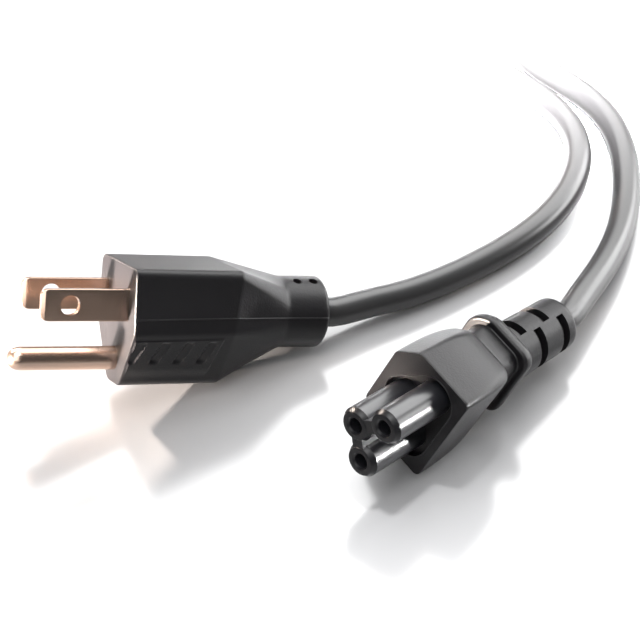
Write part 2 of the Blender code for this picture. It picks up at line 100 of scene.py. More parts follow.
# Places along the coil, counted in turns from its start
TURN_MARGIN = 0.03
TURN_STEP = 0.01
JOIN = (0.0, 0.22)
FLOOR_CHANGES = (1, 2, 3)
TOP_FROM = 4
CLIMB = (3.9, 4.06)
TOP_CHANGES = (5, 6)
LEAVE = (6.42, 6.72)
DROP = (6.56, 6.74)
CHANGE_REACH = 0.08
HOP_REACH = 0.1
HOP_HEIGHT = 0.7

# Coil tie: its place in turns, how the turns rise over it, its strap and its twisted ends
TIE_TURN = 0.3
TIE_REACH = 0.12
TIE_RAMP = 0.09
TIE_GAP = 0.1
TIE_THICKNESS = 0.8
TIE_WIDTH = 4.2
TAIL_WIDTH = 3.0
TAIL_TWIST_TURNS = 2.25
TAIL_STEPS = 46
TAIL_START_INWARDS = 2.0
TAIL_END_ASIDE = 1.5
TAIL_END_INWARDS = 18.0
TAIL_END_RISE = 1.0

# Plug: blades and pin
BLADE_HEIGHT = 6.35
BLADE_THICKNESS = 1.52
BLADE_CENTRES = 12.7
BLADE_LENGTH = 17.8
BLADE_HOLE = 4.0
BLADE_HOLE_FROM_FACE = 11.9
BLADE_EDGE = 0.18
BLADE_TIP_RADIUS = 1.7
BLADE_TIP_CORNER_SHARE = 0.8
BLADE_TIP_LEAD = 0.2
BLADE_TIP_BEVEL = 0.85
BLADE_TIP_THINNING = 0.58
GROUND_DIAMETER = 4.75
GROUND_DROP = 11.89
GROUND_LENGTH = 21.8
GROUND_DOME = 2.6
GROUND_DOME_FULLNESS = 0.8
PIN_ROOT = 4.0

# Plug: moulded body, whose corner radii run from its top down one side. A corner beside a slanted face
# moves in by the slant share of an inset
PLUG_LENGTH = 43.7
PLUG_TOP = 7.6
PLUG_HALF_WIDTH_TOP = 10.4
PLUG_HALF_WIDTH_LOW = 11.3
PLUG_SHOULDER = -5.4
PLUG_BOTTOM = -17.0
PLUG_BOTTOM_HALF_WIDTH = 3.6
SLANT_SHARE = 0.4
PLUG_FRONT_RADII = (1.5, 1.8, 2.6)
PLUG_BACK_RADII = (1.8, 1.8, 2.6)
PLUG_FRONT_EDGE = 0.4
PLUG_DRAFT = 0.2
PLUG_STRAIGHT = 21.0
TOP_STRAIGHT_EXTRA = 1.6
PLUG_TAPER_END = 34.5
NECK_RADIUS = 7.4
NECK_DROP = 2.5
END_ROUNDING = 1.0
NECK_HOLE_PLACES = (-37.6, -41.2)
NECK_HOLE_DIAMETER = 1.9
NECK_HOLE_DEPTH = 1.9
NECK_HOLE_TURN_DEG = 22.0

# Relief on the plug's sides: a raised pad with slanted grooves, and the seam of the mould
PAD_TOP = (-6.3, -5.8)
PAD_END = ((-19.4, -5.8), (-18.3, -12.4))
PAD_RISE = 0.24
PAD_TOP_EDGE = 0.3
PAD_END_EDGE = 0.35
PAD_FADE = (-15.2, -12.6)
GROOVE_TOP = (-3.4, -6.8)
GROOVE_FOOT = (-1.8, -11.5)
GROOVE_PITCH = 4.95
GROOVE_COUNT = 4
GROOVE_WIDTH = 2.2
GROOVE_DEPTH = 0.62
GROOVE_END_FADE = (-0.06, 0.1)
SEAM_RADIUS = 0.13
SEAM_HEIGHTS = ((0.0, -2.2), (-PLUG_STRAIGHT, -1.85), (-PLUG_TAPER_END, -2.5), (-PLUG_LENGTH, -2.5))

# Connector: hood and rim as half width, flat side, start of the slant, earth side and its half width
HOOD_FRONT = (12.1, -6.9, 6.9, 11.3, 7.5)
HOOD_RIM = (9.3, -5.3, 6.3, 10.4, 6.4)
HOOD_FRONT_RADII = (1.3, 1.6, 1.8)
HOOD_RIM_RADII = (3.0, 4.2, 4.8)
HOOD_ROUND_BY = 0.6
HOOD_STRAIGHT = 13.0
HOOD_STEP = 0.25
WAIST_AT = 19.6
RIM_FRONT = 22.8
RIM_BACK = 26.4

# Connector: strain relief, whose points follow the rim's at an inset, a fillet behind the rim, and slots
RELIEF_LENGTH = 45.6
RELIEF_RISE = 1.8
RELIEF_RADIUS_ROOT = 6.1
RELIEF_RADIUS_END = 5.7
RELIEF_CORE = 4.2
FOLLOWED_INSET = 0.5
FILLET_FROM = 0.1
FILLET_TO = 0.5
FILLET_RISE = 0.35
SLOT_WIDTH = 2.2
SLOT_FIRST = 29.2
SLOT_PITCH = 3.8
SLOT_ROWS = 4
EARTH_ROW_FROM_DEG = -2.0
FLAT_ROW_FROM_DEG = -6.0
CUT_MARGIN = 2.0

# Cloverleaf and the recess round it
LOBE_DIAMETER = 7.0
LOBE_SPACING = 11.3
EARTH_OFFSET = 4.9
LOBE_LENGTH = 13.8
LOBE_END = 1.05
PIN_HOLE = 3.0
PIN_HOLE_DEPTH = 11.5
WEB_WIDTH = 2.6
WEB_START_SHARE = 0.36
WEB_BACK = 0.12
RECESS_DEPTH = 1.6
RECESS_EARTH_RADIUS = 4.4
RECESS_SIDE_RADIUS = 5.0
LIP_RADIUS = 0.14
LIP_SINK = 0.06
LIP_GAP = 0.02

# Rounded edge of a lobe, as pairs of distance back from its end and in from its outside
LOBE_EDGE = ((0.95, 0.1), (0.25, 0.46), (0.06, 0.62), (0.0, 0.8))

# Mouth of a lobe's hole, as pairs of distance back from the end and out from the hole's wall
HOLE_MOUTH = ((0.0, 0.42), (0.08, 0.3), (0.35, 0.0))

# Fineness of the meshes and curves
CURVE_SAMPLES = 24
CORD_ROUNDNESS = 7
BEAD_ROUNDNESS = 2
HULL_STEPS = 72
BLADE_CORNER_STEPS = 4
TIP_TURNS_DEG = range(0, 91, 9)
DOME_TURNS_DEG = range(8, 89, 8)
PLUG_CORNER_POINTS = 7
PLUG_SIDE_POINTS = (28, 46, 6, 46, 28, 20)
PLUG_FRONT_STEPS = 3
PLUG_BODY_RINGS = 84
PLUG_TAPER_RINGS = 25
PLUG_NECK_RINGS = 12
HOOD_CORNER_POINTS = 9
HOOD_SIDE_POINTS = (16, 5, 18, 5, 16, 26)
RELIEF_RINGS = 30
END_STEPS = 6
SLOT_STEPS = 40
BLADE_HOLE_STEPS = 56
NECK_HOLE_STEPS = 28
PIN_AROUND = 64
LOBE_AROUND = 72

# Edges sharper than these angles stay hard
PLUG_SHARP_DEG = 30.0
BLADE_SHARP_DEG = 24.0
ROUND_SHARP_DEG = 34.0
CONNECTOR_SHARP_DEG = 32.0
LEAF_SHARP_DEG = 26.0

# Grain and floor, in metres
GRAIN_DEPTH = 0.0001
FLOOR_HALF = 6.0
FLOOR_SINK = 0.00005

# Light: places, aims and sizes in metres, strength in watts
WHITE = (1.0, 1.0, 1.0)
WARM = (1.0, 0.86, 0.76)
SKY_COLOUR = (0.95, 0.97, 1.0)
SKY_STRENGTH = 0.08

# Name, place, aim, width and height, strength, colour
SOFT_LIGHTS = (
    ("back_box", (0.35, 1.5, 1.45), (0.0, 0.05, 0.0), (3.4, 1.6), 82.0, WHITE),
    ("top_box", (-0.2, -0.1, 2.2), (0.0, 0.0, 0.0), (1.6, 1.6), 42.0, WHITE),
    ("front_fill", (-0.5, -1.3, 1.3), (0.0, 0.0, 0.0), (1.6, 1.6), 18.0, WHITE),
    ("right_box", (0.85, 0.42, 0.26), (0.0, 0.02, 0.01), (0.8, 0.42), 9.0, WHITE),
    ("low_card", (1.1, -1.0, 0.22), (0.0, 0.0, 0.01), (1.0, 0.4), 0.10, WARM),
)

# Name, place, aim, strength, cone in degrees, softness of its edge, radius of the lamp, colour
NARROW_LIGHTS = (
    ("far_wash", (-0.01, -0.28, 0.42), (0.042, 0.166, 0.0), 3600.0, 10.2, 1.0, 0.04, WHITE),
    ("floor_wash", (0.02, -0.05, 0.50), (0.020, -0.046, 0.0), 20.0, 7.0, 1.0, 0.03, WHITE),
    ("right_wash", (0.48, -0.085, 0.035), (0.020, -0.036, 0.010), 38.0, 5.6, 1.0, 0.03, WHITE),
    ("left_wash", (-0.34, -0.09, 0.008), (-0.042, 0.012, 0.020), 175.0, 10.0, 0.35, 0.02, WARM),
    ("edge_wash", (-0.26, 0.24, 0.16), (-0.045, 0.020, 0.028), 45.0, 8.0, 1.0, 0.02, WARM),
)


# Frames of the two ends
def turn_of(pose_deg):
    yaw, lift, roll = (math.radians(a) for a in pose_deg)
    return Matrix.Rotation(yaw, 3, "Z") @ Matrix.Rotation(-lift, 3, "Y") @ Matrix.Rotation(roll, 3, "X")


def place_of(pose_deg, face):
    """Matrix that takes an end from its own frame to the row frame, both in metres."""
    return Matrix.Translation(Vector(face) * MM) @ turn_of(pose_deg).to_4x4()


PLUG_PLACE = place_of(PLUG_POSE_DEG, PLUG_FACE)
CONNECTOR_PLACE = place_of(CONNECTOR_POSE_DEG, CONNECTOR_FACE)


# Lines and outlines
def ease(value, start, end):
    """Smooth step from 0 at start to 1 at end."""
    share = min(1.0, max(0.0, (value - start) / (end - start)))
    return share * share * (3 - 2 * share)


def smooth_line(points, step):
    """Points at an even spacing along a smooth curve that passes through the given points."""
    pts = np.array(points, float)
    pts = np.vstack((2 * pts[0] - pts[1], pts, 2 * pts[-1] - pts[-2]))
    fine = []
    for i in range(1, len(pts) - 2):
        p0, p1, p2, p3 = pts[i - 1], pts[i], pts[i + 1], pts[i + 2]
        for t in np.linspace(0.0, 1.0, CURVE_SAMPLES, endpoint=False):
            square = (2 * p0 - 5 * p1 + 4 * p2 - p3) * t ** 2
            cube = (3 * p1 - p0 - 3 * p2 + p3) * t ** 3
            fine.append(0.5 * (2 * p1 + (p2 - p0) * t + square + cube))
    fine.append(pts[-2])
    fine = np.array(fine)
    lengths = np.concatenate(([0.0], np.cumsum(np.linalg.norm(np.diff(fine, axis=0), axis=1))))
    count = max(2, int(round(lengths[-1] / step)) + 1)
    wanted = np.linspace(0.0, lengths[-1], count)
    return np.column_stack([np.interp(wanted, lengths, fine[:, k]) for k in range(3)])


def arc(centre, radius, start_deg, end_deg, steps):
    turns = np.radians(np.linspace(start_deg, end_deg, steps + 1))
    return [(centre[0] + radius * math.cos(t), centre[1] + radius * math.sin(t)) for t in turns]


def circle(centre, radius, steps):
    return arc(centre, radius, 0.0, 360.0, steps)[:-1]


def circle_at(x, centre, radius, turns):
    return [(x, centre[0] + radius * math.cos(t), centre[1] + radius * math.sin(t)) for t in turns]


def at_x(x, outline):
    """Ring from an outline of (y, z) points, at a place along an end's axis."""
    return [(x, y, z) for y, z in outline]


def lathe(profile, centre, count):
    """Rings of a turned shape from (x, radius) pairs about an axis along x."""
    turns = np.linspace(0.0, 2 * math.pi, count, endpoint=False)
    return [circle_at(x, centre, radius, turns) for x, radius in profile]


def quarter(radius, steps):
    """Pairs of distance along and drop for a rounded edge, from its side to its end."""
    turns = np.radians(np.linspace(0.0, 90.0, steps + 1))
    return [(radius * math.sin(t), radius * (1 - math.cos(t))) for t in turns]


def rounded(corners, radii, steps):
    """Closed outline of (y, z) corners with each corner rounded by its own radius."""
    outline = []
    count = len(corners)
    for i, radius in enumerate(radii):
        here = np.array(corners[i], float)
        before = np.array(corners[i - 1], float) - here
        after = np.array(corners[(i + 1) % count], float) - here
        before /= np.linalg.norm(before)
        after /= np.linalg.norm(after)
        half = math.acos(max(-1.0, min(1.0, float(before @ after)))) / 2
        middle = before + after
        middle /= np.linalg.norm(middle)
        centre = here + middle * radius / math.sin(half)
        first = here + before * radius / math.tan(half) - centre
        last = here + after * radius / math.tan(half) - centre
        sweep = math.pi - 2 * half
        turn = math.copysign(1.0, first[0] * last[1] - first[1] * last[0])
        for k in range(steps + 1):
            angle = turn * sweep * k / steps
            c, s = math.cos(angle), math.sin(angle)
            outline.append(centre + np.array((first[0] * c - first[1] * s, first[0] * s + first[1] * c)))
    return np.array(outline)


def symmetric(corners, radii, steps):
    """Rounded outline from the corners on one side and their radii, mirrored to the other side."""
    return rounded(corners + [(-y, z) for y, z in corners[::-1]], radii + radii[::-1], steps)


def spread(values, per_corner, between):
    """Add evenly spaced values between each corner's last point and the next corner's first."""
    fine = []
    for corner, extra in enumerate(between):
        first = corner * per_corner
        last = first + per_corner - 1
        fine.extend(values[first:last + 1])
        for k in range(1, extra + 1):
            fine.append(values[last] + (values[last + 1] - values[last]) * k / (extra + 1))
    return np.array(fine)


def fine_outline(outline, per_corner, between):
    """Closed outline with more points on its sides, as many on each as between says."""
    return spread(np.vstack((outline, outline[:1])), per_corner, between)


def turns_like(outline, centre, per_corner, between):
    """Directions for a circle whose points follow those of an outline, but are spaced more evenly."""
    follow = 0.55
    away = outline - np.array(centre)
    turns = np.unwrap(np.arctan2(away[:, 1], away[:, 0]))
    full = 2 * math.pi * np.sign(turns[-1] - turns[0])
    even = np.linspace(turns[0], turns[0] + full, len(turns) + 1)[:-1]
    turns = follow * turns + (1 - follow) * even
    return spread(np.append(turns, turns[0] + full), per_corner, between)


def outward(ring):
    """Direction out of the side of a ring, in its plane, at each of its points."""
    plane = np.array([(p[1], p[2]) for p in ring])
    along = np.roll(plane, -1, axis=0) - np.roll(plane, 1, axis=0)
    along /= np.linalg.norm(along, axis=1)[:, None]
    ways = np.column_stack((-along[:, 1], along[:, 0]))
    inward = np.sum((plane - plane.mean(axis=0)) * ways, axis=1) < 0
    ways[inward] *= -1
    return ways


def half_hull(points):
    """Lower or upper half of a convex outline, from points sorted one way or the other."""
    line = []
    for p in points:
        while len(line) > 1:
            ax, ay = line[-1][0] - line[-2][0], line[-1][1] - line[-2][1]
            bx, by = p[0] - line[-2][0], p[1] - line[-2][1]
            if ax * by - ay * bx > TINY:
                break
            line.pop()
        line.append(p)
    return line


def hull_of_circles(circles):
    """Outline of the smallest convex shape round some circles given as (y, z, radius)."""
    cloud = []
    for y, z, radius in circles:
        cloud.extend(circle((y, z), radius, HULL_STEPS))
    cloud = sorted(set((round(y, 5), round(z, 5)) for y, z in cloud))
    return half_hull(cloud)[:-1] + half_hull(cloud[::-1])[:-1]


# Meshes and curves
def skin(rings, close_ends=True):
    """Points and faces of a skin over closed rings that share a point count."""
    count = len(rings[0])
    points = [p for ring in rings for p in ring]
    faces = []
    for row in range(len(rings) - 1):
        a = row * count
        b = a + count
        for i in range(count):
            j = (i + 1) % count
            faces.append((a + i, a + j, b + j, b + i))
    if close_ends:
        last = (len(rings) - 1) * count
        faces.append(tuple(range(count))[::-1])
        faces.append(tuple(range(last, last + count)))
    return points, faces


def joined(shapes):
    """Points and faces of several shapes as those of one."""
    points = []
    faces = []
    for more_points, more_faces in shapes:
        faces += [tuple(i + len(points) for i in face) for face in more_faces]
        points += more_points
    return points, faces


def smooth_by_angle(piece, degrees):
    piece.data.shade_smooth()
    piece.data.set_sharp_from_angle(angle=math.radians(degrees))


def mesh_piece(name, shape, place, mat, sharp_deg=ROUND_SHARP_DEG):
    """Piece from points and faces in an end's own frame, with its faces turned outwards."""
    points, faces = shape
    mesh = bpy.data.meshes.new(name)
    mesh.from_pydata([tuple(float(c) * MM for c in p) for p in points], [], faces)
    mesh.validate()
    build = bmesh.new()
    build.from_mesh(mesh)
    bmesh.ops.recalc_face_normals(build, faces=build.faces)
    build.to_mesh(mesh)
    build.free()
    piece = bpy.data.objects.new(name, mesh)
    piece.matrix_world = place
    bpy.context.scene.collection.objects.link(piece)
    mesh.materials.append(mat)
    smooth_by_angle(piece, sharp_deg)
    return piece


def cut(piece, rings):
    """Cut a closed shape, given by rings in the piece's own frame, out of the piece."""
    tool = mesh_piece("cutter", skin(rings), piece.matrix_world.copy(), piece.data.materials[0])
    step = piece.modifiers.new("cut", "BOOLEAN")
    step.operation = "DIFFERENCE"
    step.solver = "EXACT"
    step.object = tool
    bpy.context.view_layer.update()
    graph = bpy.context.evaluated_depsgraph_get()
    mesh = bpy.data.meshes.new_from_object(piece.evaluated_get(graph))
    piece.modifiers.clear()
    piece.data = mesh
    bpy.data.objects.remove(tool, do_unlink=True)


def round_lines(name, lines, radius, roundness, mat):
    """Curve with a round section along some lines of points."""
    curve = bpy.data.curves.new(name, "CURVE")
    curve.dimensions = "3D"
    curve.bevel_depth = radius * MM
    curve.bevel_resolution = roundness
    for line in lines:
        spline = curve.splines.new("POLY")
        spline.points.add(len(line) - 1)
        for point, where in zip(spline.points, line):
            point.co = (*(c * MM for c in where), 1.0)
    curve.materials.append(mat)
    piece = bpy.data.objects.new(name, curve)
    bpy.context.scene.collection.objects.link(piece)
    return piece


def thin_bead(name, lines, radius, place, mat):
    bead = round_lines(name, lines, radius, BEAD_ROUNDNESS, mat)
    bead.matrix_world = place
    return bead


# Camera
def make_camera():
    data = bpy.data.cameras.new("camera")
    camera = bpy.data.objects.new("camera", data)
    bpy.context.scene.collection.objects.link(camera)
    tilt = math.radians(CAMERA_ELEVATION_DEG)
    away = Vector((0.0, -math.cos(tilt), math.sin(tilt))) * CAMERA_DISTANCE
    camera.location = (Vector(CAMERA_TARGET) + away) * MM
    camera.rotation_euler = (math.pi / 2 - tilt, 0.0, 0.0)
    data.sensor_width = CAMERA_SENSOR
    data.lens = CAMERA_LENS
    data.clip_start = 0.01
    data.clip_end = 100.0
    bpy.context.scene.camera = camera


# Cord
def on_floor_plan(route):
    return [(x - ROUTE_ORIGIN[0], y - ROUTE_ORIGIN[1], z) for x, y, z in route]


def leaving(place, exit_away, rise):
    """Start of the cord inside its bore and a short straight run out of it."""
    start = []
    for away in (exit_away - CORD_ENTRY, exit_away, exit_away + STRAIGHT_OUT):
        spot = place @ (Vector((-away, 0.0, rise)) * MM) / MM
        start.append((spot.x, spot.y, spot.z))
    return start


def changed(turn, middle):
    """How far the cord has moved to its next row at a turn, for a change about a middle."""
    return ease(turn, middle - CHANGE_REACH, middle + CHANGE_REACH)


def coil_reach(turn):
    """Distance from the coil's middle, row by row inwards on the floor and outwards on top."""
    reach = COIL_BESIDE - (COIL_BESIDE - COIL_OUTER) * ease(turn, *JOIN)
    for middle in FLOOR_CHANGES:
        reach -= COIL_PITCH * changed(turn, middle)
    reach += COIL_PITCH / 2 * changed(turn, TOP_FROM)
    for middle in TOP_CHANGES:
        reach += COIL_PITCH * changed(turn, middle)
    top_outer = COIL_MIDDLE_RADIUS + UPPER_ROWS[-1] * COIL_PITCH
    return reach + (COIL_BESIDE - top_outer) * ease(turn, *LEAVE)


def coil_height(turn):
    """Height of the cord's middle, which also hops where top turns change rows and at the tie."""
    height = CORD_RADIUS + FLOOR_GAP + STACK_RISE * (ease(turn, *CLIMB) - ease(turn, *DROP))
    for middle in TOP_CHANGES:
        up = ease(turn, middle - HOP_REACH, middle)
        down = ease(turn, middle, middle + HOP_REACH)
        height += HOP_HEIGHT * up * (1 - down)
    from_tie = abs(turn % 1.0 - TIE_TURN)
    return height + (TIE_THICKNESS + TIE_GAP) * ease(TIE_REACH - from_tie, 0.0, TIE_RAMP)


def coil_points():
    """Turns of the coil: four beside each other on the floor going in, then three on top going out."""
    points = []
    for turn in np.arange(TURN_MARGIN, COIL_TURNS - TURN_MARGIN, TURN_STEP):
        angle = 2 * math.pi * turn
        reach = coil_reach(turn)
        x = COIL_SPOT[0] + reach * math.cos(angle)
        y = COIL_SPOT[1] + reach * math.sin(angle)
        points.append((x, y, coil_height(turn)))
    return points


def even_out(values):
    """Move each value towards its neighbours, many times over."""
    values = values.copy()
    for _ in range(CALM_ROUNDS):
        values[1:-1] += CALM_WEIGHT * (values[:-2] + values[2:] - 2 * values[1:-1])
    return values


def calmed(line):
    """Take short waves out of the free runs of the cord, and leave its ends and the coil as they are."""
    calm = even_out(line)
    calm += even_out(line - calm)
    from_coil = np.linalg.norm(line[:, :2] - COIL_SPOT, axis=1)
    run = np.arange(len(line)) * CORD_STEP
    from_end = np.minimum(run, run[::-1])
    shares = []
    for coil, end in zip(from_coil, from_end):
        shares.append(min(ease(coil, *CALM_FROM_COIL), ease(end, *CALM_FROM_END)))
    return line + (calm - line) * np.array(shares)[:, None]


def make_cord(mat):
    connector_run = leaving(CONNECTOR_PLACE, RELIEF_LENGTH, RELIEF_RISE) + on_floor_plan(CONNECTOR_ROUTE)
    plug_run = leaving(PLUG_PLACE, PLUG_LENGTH, -NECK_DROP) + on_floor_plan(PLUG_ROUTE)
    line = calmed(smooth_line(connector_run + coil_points() + plug_run[::-1], CORD_STEP))
    length = float(np.linalg.norm(np.diff(line, axis=0), axis=1).sum()) * MM
    print("cord length in metres", round(length, 4))
    piece = round_lines("cord", [line], CORD_RADIUS, CORD_ROUNDNESS, mat)
    piece.data.use_fill_caps = True
    return piece


# Coil tie, drawn with the coil's middle at the origin and y away from it. The lowest turns lie on the
# strap, with their middles at this height
TIE_FLOOR = CORD_RADIUS + FLOOR_GAP + TIE_GAP + TIE_THICKNESS


def tie_strap():
    """Strap that fits closely round a cut through all the turns."""
    rows = [(row, TIE_FLOOR) for row in FLOOR_ROWS] + [(row, TIE_FLOOR + STACK_RISE) for row in UPPER_ROWS]
    radius = CORD_RADIUS + TIE_GAP
    inner = hull_of_circles([(COIL_MIDDLE_RADIUS + row * COIL_PITCH, z, radius) for row, z in rows])
    ways = outward(at_x(0.0, inner))
    outer = [(y + way[0] * TIE_THICKNESS, z + way[1] * TIE_THICKNESS) for (y, z), way in zip(inner, ways)]
    half = TIE_WIDTH / 2
    section = ((-half, inner), (-half, outer), (half, outer), (half, inner), (-half, inner))
    return skin([at_x(x, line) for x, line in section], close_ends=False)


def tie_tail():
    """The strap's two ends twisted together, from the top of the turns down over the open middle."""
    upper = TIE_FLOOR + STACK_RISE
    start_up = upper + CORD_RADIUS + TIE_THICKNESS / 2
    start = np.array((0.0, COIL_MIDDLE_RADIUS - TAIL_START_INWARDS, start_up))
    stop = np.array((TAIL_END_ASIDE, COIL_MIDDLE_RADIUS - TAIL_END_INWARDS, upper + TAIL_END_RISE))
    along = (stop - start) / np.linalg.norm(stop - start)
    side = np.cross(along, (0.0, 0.0, 1.0))
    side /= np.linalg.norm(side)
    above = np.cross(side, along)
    rings = []
    for share in np.linspace(0.0, 1.0, TAIL_STEPS):
        turn = 2 * math.pi * TAIL_TWIST_TURNS * share
        wide = (side * math.cos(turn) + above * math.sin(turn)) * TAIL_WIDTH / 2
        thick = (above * math.cos(turn) - side * math.sin(turn)) * TIE_THICKNESS / 2
        middle = start + (stop - start) * share
        near, far = middle + wide, middle - wide
        rings.append([near + thick, near - thick, far - thick, far + thick])
    return skin(rings)


def make_coil_tie(mat):
    """Plain strap round the turns of the coil, its two ends twisted together on top."""
    turn = 2 * math.pi * TIE_TURN - math.pi / 2
    place = Matrix.Translation(Vector((*COIL_SPOT, 0.0)) * MM) @ Matrix.Rotation(turn, 4, "Z")
    return mesh_piece("coil_tie", joined((tie_strap(), tie_tail())), place, mat)


# Plug
def plug_front(shrink):
    """Outline of the plug's front, drawn in all round."""
    corners = [
        (PLUG_HALF_WIDTH_TOP - shrink, PLUG_TOP - shrink),
        (PLUG_HALF_WIDTH_LOW - shrink, PLUG_SHOULDER),
        (PLUG_BOTTOM_HALF_WIDTH - shrink * SLANT_SHARE, PLUG_BOTTOM + shrink),
    ]
    outline = symmetric(corners, PLUG_FRONT_RADII, PLUG_CORNER_POINTS - 1)
    return fine_outline(outline, PLUG_CORNER_POINTS, PLUG_SIDE_POINTS)


def plug_back():
    """Plain outline where the straight part ends, and its ring, which runs further back along the top."""
    corners = [
        (PLUG_HALF_WIDTH_TOP, PLUG_TOP - PLUG_DRAFT),
        (PLUG_HALF_WIDTH_LOW, PLUG_SHOULDER + 2 * PLUG_DRAFT),
        (PLUG_BOTTOM_HALF_WIDTH, PLUG_BOTTOM + PLUG_DRAFT),
    ]
    outline = symmetric(corners, PLUG_BACK_RADII, PLUG_CORNER_POINTS - 1)
    ring = []
    for y, z in fine_outline(outline, PLUG_CORNER_POINTS, PLUG_SIDE_POINTS):
        share = min(1.0, max(0.0, (z - PLUG_SHOULDER) / (PLUG_TOP - PLUG_SHOULDER)))
        ring.append((-PLUG_STRAIGHT - TOP_STRAIGHT_EXTRA * share, y, z))
    return outline, np.array(ring)


def groove_profile(across):
    """Height over a groove from its nose side, 0, to its cord side, 1: a steep wall, a slope and a lip."""
    places = (0.0, 0.06, 0.2, 0.34, 0.8, 0.93, 1.0, 1.08)
    heights = (0.0, -0.1, -0.9, -1.0, -0.45, 0.16, 0.1, 0.0)
    return float(np.interp(across, places, heights))


def side_relief(x, z):
    """Height of the pad and its grooves over the plug's side at a place on it."""
    top = PAD_TOP[0] + (PAD_TOP[1] - PAD_TOP[0]) * -x / PLUG_STRAIGHT
    (end_x, end_z), (foot_x, foot_z) = PAD_END
    end = end_x + (foot_x - end_x) * (end_z - z) / (end_z - foot_z)
    pad = ease(top - z, 0.0, PAD_TOP_EDGE) * ease(x - end, 0.0, PAD_END_EDGE) * ease(z, *PAD_FADE)
    height = PAD_RISE * pad
    share = (GROOVE_TOP[1] - z) / (GROOVE_TOP[1] - GROOVE_FOOT[1])
    line = GROOVE_TOP[0] + (GROOVE_FOOT[0] - GROOVE_TOP[0]) * share
    ends = ease(share, *GROOVE_END_FADE) * ease(1 - share, *GROOVE_END_FADE)
    for k in range(GROOVE_COUNT):
        across = (line - k * GROOVE_PITCH + GROOVE_WIDTH - x) / GROOVE_WIDTH
        height += GROOVE_DEPTH * ends * groove_profile(across)
    return height


def with_relief(ring):
    """Ring of the straight part with the pad and the grooves raised from its sides."""
    raised = []
    for (x, y, z), way in zip(ring, outward(ring)):
        height = side_relief(x, z) if abs(y) > PLUG_BOTTOM_HALF_WIDTH else 0.0
        raised.append((x, y + way[0] * height, z + way[1] * height))
    return raised


def plug_rings():
    """Rings of the moulded body: front edge, straight part with its relief, taper, neck and end."""
    neck_centre = (0.0, -NECK_DROP)
    rings = []
    for along, drop in quarter(PLUG_FRONT_EDGE, PLUG_FRONT_STEPS)[::-1]:
        rings.append(at_x(along - PLUG_FRONT_EDGE, plug_front(drop)))
    front = np.array(rings[-1])
    outline, back = plug_back()
    for share in np.linspace(0.0, 1.0, PLUG_BODY_RINGS)[1:]:
        rings.append(with_relief(front + (back - front) * share))
    turns = turns_like(outline, neck_centre, PLUG_CORNER_POINTS, PLUG_SIDE_POINTS)
    neck = np.array(circle_at(-PLUG_TAPER_END, neck_centre, NECK_RADIUS, turns))
    for share in np.linspace(0.0, 1.0, PLUG_TAPER_RINGS)[1:]:
        rings.append(back + (neck - back) * share)
    neck_end = END_ROUNDING - PLUG_LENGTH
    for x in np.linspace(-PLUG_TAPER_END, neck_end, PLUG_NECK_RINGS)[1:-1]:
        rings.append(circle_at(x, neck_centre, NECK_RADIUS, turns))
    for along, drop in quarter(END_ROUNDING, END_STEPS):
        rings.append(circle_at(neck_end - along, neck_centre, NECK_RADIUS - drop, turns))
    return rings


def neck_hole(x):
    """Rings of a short round cutter that stands on the neck, turned a little towards one side."""
    turn = math.radians(90.0 - NECK_HOLE_TURN_DEG)
    out = Vector((0.0, math.cos(turn), math.sin(turn)))
    side = Vector((0.0, -out.z, out.y))
    base = Vector((x, 0.0, -NECK_DROP))
    rings = []
    for reach in (NECK_RADIUS - NECK_HOLE_DEPTH, NECK_RADIUS + CUT_MARGIN):
        ring = []
        for along, across in circle((0.0, 0.0), NECK_HOLE_DIAMETER / 2, NECK_HOLE_STEPS):
            ring.append(base + out * reach + Vector((along, 0.0, 0.0)) + side * across)
        rings.append(ring)
    return rings


def make_plug_moulding(mat):
    body = mesh_piece("plug_moulding", skin(plug_rings()), PLUG_PLACE, mat)
    for x in NECK_HOLE_PLACES:
        cut(body, neck_hole(x))
    smooth_by_angle(body, PLUG_SHARP_DEG)
    return body


def seam_spot(ring, height):
    """Place on the positive side of a ring at a height."""
    side = sorted((p for p in ring if p[1] > PLUG_BOTTOM_HALF_WIDTH), key=lambda p: p[2])
    heights = [p[2] for p in side]
    return [float(np.interp(height, heights, [p[k] for p in side])) for k in (0, 1)]


def make_plug_seam(mat):
    """Fine bead of the mould's seam along both sides, through every second ring behind the front edge."""
    sides = ([], [])
    reaches = [-x for x, z in SEAM_HEIGHTS]
    levels = [z for x, z in SEAM_HEIGHTS]
    for ring in plug_rings()[PLUG_FRONT_STEPS:-1:2]:
        rough_x = seam_spot(ring, levels[1])[0]
        height = float(np.interp(-rough_x, reaches, levels))
        x, y = seam_spot(ring, height)
        for side, line in zip((1, -1), sides):
            line.append((x, side * y, height))
    return thin_bead("plug_seam", sides, SEAM_RADIUS, PLUG_PLACE, mat)


def blade_section(x, y):
    """Ring of a blade whose middle is at y, with its corners taken in and its tip thinned near the end."""
    into_tip = max(0.0, x - (BLADE_LENGTH - BLADE_TIP_RADIUS))
    corner = BLADE_TIP_RADIUS - math.sqrt(max(0.0, BLADE_TIP_RADIUS ** 2 - into_tip ** 2))
    into_bevel = max(0.0, x - (BLADE_LENGTH - BLADE_TIP_BEVEL))
    half_h = BLADE_HEIGHT / 2 - BLADE_TIP_CORNER_SHARE * corner
    half_t = BLADE_THICKNESS / 2 * (1 - BLADE_TIP_THINNING * into_bevel / BLADE_TIP_BEVEL)
    corners = [(half_t, half_h), (half_t, -half_h), (-half_t, -half_h), (-half_t, half_h)]
    outline = rounded(corners, (BLADE_EDGE,) * len(corners), BLADE_CORNER_STEPS)
    return [(x, y + across, up) for across, up in outline]


